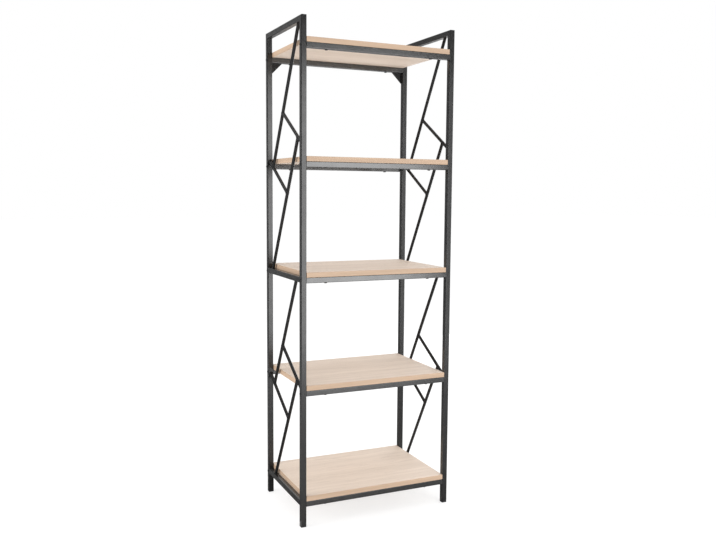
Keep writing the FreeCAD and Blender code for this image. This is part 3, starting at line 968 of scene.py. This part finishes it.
@dataclass(frozen=True)
class Studio:
    """White studio: floor, background, lights and the cards that the metal mirrors."""

    floor_half_width: float = 30.0
    floor_colour: Colour = (0.74, 0.74, 0.74)
    seen_floor_colour: Colour = (0.45, 0.45, 0.45)
    floor_glow: float = 0.67
    fill_strength: float = 0.85
    lights: tuple[Softbox, ...] = (
        Softbox("front_softbox", (1.15, -3.2, 1.05), size=(1.25, 2.2), brightness=5.4),
        Softbox("rear_softbox", (2.6, 2.6, 1.05), size=(1.25, 2.2), brightness=3.2),
        Softbox("left_softbox", (-3.2, 0.0, 1.2), size=(2.0, 2.2), brightness=4.0, mirrored=False),
        Softbox("right_softbox", (3.2, 0.0, 1.2), size=(2.0, 2.2), brightness=1.0, mirrored=False),
    )
    cards: tuple[Card, ...] = (
        Card("front_left_card", (-REACH, -BACK, 0.0), (FRONT_SPLIT, -REACH, TALL), tone=0.28),
        Card("front_right_card", (FRONT_SPLIT, -BACK, 0.0), (REACH, -REACH, TALL), tone=0.04),
        Card("left_card", (-BACK, -REACH, 0.0), (-REACH, REACH, TALL), tone=0.22),
        Card("rear_left_card", (-REACH, REACH, 0.0), (REAR_SPLIT, BACK, TALL), tone=0.35),
        Card("rear_right_card", (REAR_SPLIT, REACH, 0.0), (REACH, BACK, 1.2), tone=0.30),
        FadedCard(
            "front_floor_card", (-REACH, -REACH, FLOOR_LOW), (REACH, FRONT_END, FLOOR_HIGH), tone=1.0,
            far_tone=0.55, fade_start=(-0.4, -0.16, FLOOR_HIGH), fade_end=(0.2, 0.08, FLOOR_HIGH),
        ),
        Card("rear_floor_card", (-REACH, FRONT_END, FLOOR_LOW), (0.28, REACH, FLOOR_HIGH), tone=0.30),
    )

    def build(self) -> None:
        """Make everything around the unit."""
        self.background()
        self.floor()
        for thing in (*self.cards, *self.lights):
            thing.build()
        bpy.context.scene.view_settings.view_transform = "Standard"

    def seen(self, graph: Graph) -> bpy.types.NodeSocket:
        """Mask of the rays that show the background: direct, mirrored or through glass.

        Args:
            graph: The graph of the floor's or the background's material.

        Returns:
            1 for such a ray, 0 for any other.
        """
        path = graph.add("ShaderNodeLightPath").outputs
        mirrored = graph.math("MAXIMUM", path["Is Glossy Ray"], path["Is Transmission Ray"])
        return graph.math("MAXIMUM", path["Is Camera Ray"], mirrored)

    def background(self) -> None:
        """White to look at, a softer white as fill light."""
        world = bpy.data.worlds.new("studio")
        world.use_nodes = True
        bpy.context.scene.world = world
        graph = Graph(world.node_tree)
        fill = graph.add("ShaderNodeBackground", Color=WHITE, Strength=self.fill_strength).outputs[0]
        white = graph.add("ShaderNodeBackground", Color=WHITE, Strength=1.0).outputs[0]
        both = graph.chain("ShaderNodeMixShader", {}, self.seen(graph), fill, white)
        graph.add("ShaderNodeOutputWorld", Surface=both.outputs[0])

    def floor(self) -> None:
        """A wide pale floor that keeps the unit's shadow."""
        shape = bmesh.new()
        bmesh.ops.create_grid(shape, x_segments=1, y_segments=1, size=self.floor_half_width)
        floor = finish_mesh(shape, "floor")
        material, graph = new_material("floor")
        seen = self.seen(graph)
        colour = graph.mix(MIX_COLOURS, seen, self.floor_colour, self.seen_floor_colour)
        glow = graph.math("MULTIPLY", seen, self.floor_glow)
        paint = graph.add("ShaderNodeBsdfDiffuse", Color=colour).outputs[0]
        shine = graph.add("ShaderNodeEmission", Strength=glow).outputs[0]
        both = graph.chain("ShaderNodeAddShader", {}, paint, shine)
        graph.add("ShaderNodeOutputMaterial", Surface=both.outputs[0])
        floor.data.materials.append(material)


@dataclass(frozen=True)
class PhotoCamera:
    """The photograph's camera, fitted to the edges of the posts and rails."""

    place: Point = (-1.24964, -2.84159, 1.20854)
    yaw: float = math.radians(25.32)
    pitch: float = math.radians(-5.6)
    roll: float = math.radians(0.53)
    image_width: float = 716.0
    image_height: float = 540.0
    focal_pixels: float = 807.13
    centre_pixels: tuple[float, float] = (379.23, 269.72)
    sensor_width: float = 36.0

    def build(self) -> bpy.types.Object:
        """Make the camera and set it as the scene's.

        Returns:
            The camera.
        """
        data = bpy.data.cameras.new("photo_camera")
        data.sensor_fit = "HORIZONTAL"
        data.sensor_width = self.sensor_width
        data.lens = self.focal_pixels / self.image_width * self.sensor_width
        data.shift_x = (self.image_width / 2 - self.centre_pixels[0]) / self.image_width
        data.shift_y = (self.centre_pixels[1] - self.image_height / 2) / self.image_width
        camera = bpy.data.objects.new("photo_camera", data)
        camera.matrix_world = self.pose()
        bpy.context.scene.collection.objects.link(camera)
        bpy.context.scene.camera = camera
        return camera

    def pose(self) -> Matrix:
        """Work out where the camera stands and how it is turned.

        Returns:
            The camera's matrix.
        """
        right = Vector((math.cos(self.yaw), -math.sin(self.yaw), 0))
        level = Vector((math.sin(self.yaw), math.cos(self.yaw), 0))
        forward = level * math.cos(self.pitch) + UP * math.sin(self.pitch)
        up = right.cross(forward)
        tilted_right = right * math.cos(self.roll) + up * math.sin(self.roll)
        tilted_up = up * math.cos(self.roll) - right * math.sin(self.roll)
        return axes(tilted_right, tilted_up, -forward, Vector(self.place))


def main() -> None:
    """Dress the solids, add the welds, and set the studio and the camera."""
    logging.basicConfig(level=logging.INFO, format="%(message)s")
    wardrobe = Wardrobe()
    wardrobe.dress_solids()
    tool = BeadTool()
    for side in Side:
        FrameWelds(side, tool).build(wardrobe)
    GussetWelds(tool).build(wardrobe)
    Studio().build()
    PhotoCamera().build()


if __name__ == "__main__":
    main()
